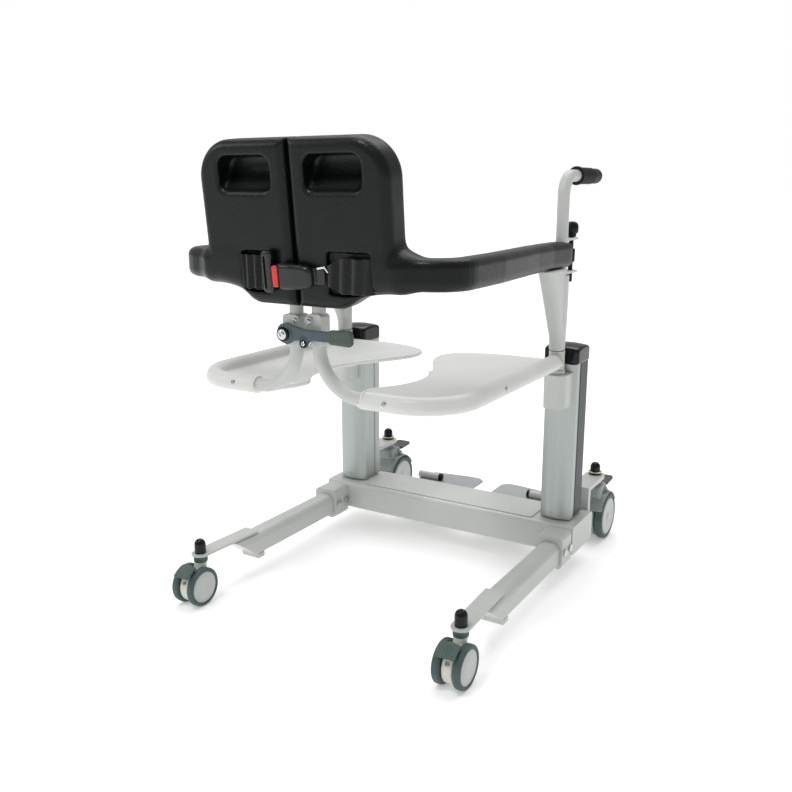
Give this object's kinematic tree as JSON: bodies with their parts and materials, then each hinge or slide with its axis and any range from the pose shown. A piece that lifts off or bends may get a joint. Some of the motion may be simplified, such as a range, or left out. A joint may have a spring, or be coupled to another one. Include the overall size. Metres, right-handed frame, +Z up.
{
  "type": "sit to stand lift",
  "caption": "Rolling patient lift chair: two lifting columns on a castered base carry swing-apart seat halves with armrests, padded back, belt, latch lever and push handles.",
  "frame": {"origin": "centre of the footprint, on the floor", "axes": "+Z up; -Y is the way the seated person faces; +X is that person's left"},
  "size_m": [0.531, 0.7212, 0.7443],
  "materials": {
    "frame_paint": "satin off-white powder coat",
    "cap_black": "matte black moulding",
    "aluminium": "anodised satin",
    "steel": "bright plated",
    "screw_steel": "satin",
    "battery": "matte",
    "grip_rubber": "matte",
    "seat_plastic": "smooth white moulding",
    "foam": "textured black polyurethane skin",
    "webbing": "ribbed black webbing",
    "buckle_black": "satin black",
    "button_red": "smooth red",
    "lever_paint": "dark blue-grey",
    "lever_rubber": "matte green-grey",
    "plate_grey": "satin grey",
    "caster_white": "smooth",
    "caster_grey": "smooth light grey",
    "tyre_grey": "slate grey tread",
    "pedal_grey": "ribbed slate grey"
  },
  "bodies": {
    "base": {"beam": "frame_paint", "beam_cover": "frame_paint", "leg_sockets": "frame_paint", "legs": "frame_paint", "leg_end_caps": "frame_paint", "leg_bolts": "steel", "caster_plates": "frame_paint", "rear_stem_caps": "cap_black", "front_uprights": "frame_paint", "front_stem_caps": "cap_black", "inner_columns": "aluminium", "lift_screws": "screw_steel", "battery_pack": "battery"},
    "left_column": {"outer_column_left": "aluminium", "column_cap_left": "cap_black", "pivot_bracket_left": "frame_paint"},
    "right_column": {"outer_column_right": "aluminium", "column_cap_right": "cap_black", "pivot_bracket_right": "frame_paint"},
    "left_half": {"post_left": "frame_paint", "grip_left": "grip_rubber", "gusset_left": "frame_paint", "seat_tube_left": "frame_paint", "seat_left": "seat_plastic", "back_arm_left": "foam", "arm_screws_left": "screw_steel", "belt_strap_left": "webbing", "belt_tongue": "buckle_black", "latch_block": "frame_paint", "latch_bolts": "steel"},
    "right_half": {"post_right": "frame_paint", "grip_right": "grip_rubber", "gusset_right": "frame_paint", "seat_tube_right": "frame_paint", "seat_right": "seat_plastic", "back_arm_right": "foam", "arm_screws_right": "screw_steel", "belt_strap_right": "webbing", "belt_buckle": "buckle_black", "latch_keeper": "frame_paint"},
    "lever": {"latch_lever": "lever_paint", "lever_grip": "lever_rubber"},
    "release_button": {"buckle_button": "button_red"},
    "left_plunger": {"plunger_left": "cap_black"},
    "right_plunger": {"plunger_right": "cap_black"},
    "left_footplate": {"footplate_left": "plate_grey"},
    "right_footplate": {"footplate_right": "plate_grey"},
    "rear_left_fork_body": {"rear_left_fork": "caster_white"},
    "rear_left_wheels_body": {"rear_left_wheels": "tyre_grey"},
    "rear_left_brake_body": {"rear_left_brake": "pedal_grey"},
    "rear_right_fork_body": {"rear_right_fork": "caster_white"},
    "rear_right_wheels_body": {"rear_right_wheels": "tyre_grey"},
    "rear_right_brake_body": {"rear_right_brake": "pedal_grey"},
    "front_left_fork_body": {"front_left_fork": "caster_grey"},
    "front_left_wheels_body": {"front_left_wheels": "tyre_grey"},
    "front_left_brake_body": {"front_left_brake": "pedal_grey"},
    "front_right_fork_body": {"front_right_fork": "caster_grey"},
    "front_right_wheels_body": {"front_right_wheels": "tyre_grey"},
    "front_right_brake_body": {"front_right_brake": "pedal_grey"}
  },
  "joints": [
    {"name": "left_lift", "type": "slide", "parent": "base", "child": "left_column", "axis": [0, 0, 1], "range_m": [0, 0.18]},
    {"name": "right_lift", "type": "slide", "parent": "base", "child": "right_column", "axis": [0, 0, 1], "range_m": [0, 0.18]},
    {"name": "left_swing", "type": "hinge", "parent": "left_column", "child": "left_half", "pos_m": [0.217, -0.10171, 0.3625], "axis": [0, 0, -1], "range_deg": [0, 90]},
    {"name": "right_swing", "type": "hinge", "parent": "right_column", "child": "right_half", "pos_m": [-0.217, -0.10171, 0.3625], "axis": [0, 0, 1], "range_deg": [0, 90]},
    {"name": "latch_turn", "type": "hinge", "parent": "left_half", "child": "lever", "pos_m": [0.022, 0.33429, 0.4765], "axis": [0, -1, 0], "range_deg": [0, 80]},
    {"name": "button_press", "type": "slide", "parent": "right_half", "child": "release_button", "axis": [-1, 0, 0], "range_m": [0, 0.003], "stiffness_N_per_m": 500},
    {"name": "left_plunger_lift", "type": "slide", "parent": "left_half", "child": "left_plunger", "axis": [0, 0, 1], "range_m": [0, 0.01], "stiffness_N_per_m": 600},
    {"name": "right_plunger_lift", "type": "slide", "parent": "right_half", "child": "right_plunger", "axis": [0, 0, 1], "range_m": [0, 0.01], "stiffness_N_per_m": 600},
    {"name": "left_footplate_fold", "type": "hinge", "parent": "base", "child": "left_footplate", "pos_m": [0.085, -0.21071, 0.0605], "axis": [-1, 0, 0], "range_deg": [0, 85]},
    {"name": "right_footplate_fold", "type": "hinge", "parent": "base", "child": "right_footplate", "pos_m": [-0.085, -0.21071, 0.0605], "axis": [-1, 0, 0], "range_deg": [0, 85]},
    {"name": "rear_left_swivel", "type": "hinge", "parent": "base", "child": "rear_left_fork_body", "pos_m": [0.243, 0.29829, 0.0725], "axis": [0, 0, 1], "continuous": true},
    {"name": "rear_left_roll", "type": "hinge", "parent": "rear_left_fork_body", "child": "rear_left_wheels_body", "pos_m": [0.243, 0.31429, 0.0325], "axis": [1, 0, 0], "continuous": true},
    {"name": "rear_left_brake_press", "type": "hinge", "parent": "rear_left_fork_body", "child": "rear_left_brake_body", "pos_m": [0.243, 0.31629, 0.06], "axis": [-1, 0, 0], "range_deg": [0, 8]},
    {"name": "rear_right_swivel", "type": "hinge", "parent": "base", "child": "rear_right_fork_body", "pos_m": [-0.243, 0.29829, 0.0725], "axis": [0, 0, 1], "continuous": true},
    {"name": "rear_right_roll", "type": "hinge", "parent": "rear_right_fork_body", "child": "rear_right_wheels_body", "pos_m": [-0.243, 0.31429, 0.0325], "axis": [1, 0, 0], "continuous": true},
    {"name": "rear_right_brake_press", "type": "hinge", "parent": "rear_right_fork_body", "child": "rear_right_brake_body", "pos_m": [-0.243, 0.31629, 0.06], "axis": [-1, 0, 0], "range_deg": [0, 8]},
    {"name": "front_left_swivel", "type": "hinge", "parent": "base", "child": "front_left_fork_body", "pos_m": [0.235, -0.28971, 0.1175], "axis": [0, 0, 1], "continuous": true},
    {"name": "front_left_roll", "type": "hinge", "parent": "front_left_fork_body", "child": "front_left_wheels_body", "pos_m": [0.235, -0.31171, 0.045], "axis": [1, 0, 0], "continuous": true},
    {"name": "front_left_brake_press", "type": "hinge", "parent": "front_left_fork_body", "child": "front_left_brake_body", "pos_m": [0.235, -0.30971, 0.104], "axis": [1, 0, 0], "range_deg": [0, 10]},
    {"name": "front_right_swivel", "type": "hinge", "parent": "base", "child": "front_right_fork_body", "pos_m": [-0.235, -0.28971, 0.1175], "axis": [0, 0, 1], "continuous": true},
    {"name": "front_right_roll", "type": "hinge", "parent": "front_right_fork_body", "child": "front_right_wheels_body", "pos_m": [-0.235, -0.31171, 0.045], "axis": [1, 0, 0], "continuous": true},
    {"name": "front_right_brake_press", "type": "hinge", "parent": "front_right_fork_body", "child": "front_right_brake_body", "pos_m": [-0.235, -0.30971, 0.104], "axis": [1, 0, 0], "range_deg": [0, 10]}
  ],
  "couplings": [
    {"joint": "right_lift", "follows": "left_lift", "ratio": 1},
    {"joint": "right_swing", "follows": "left_swing", "ratio": 1}
  ]
}
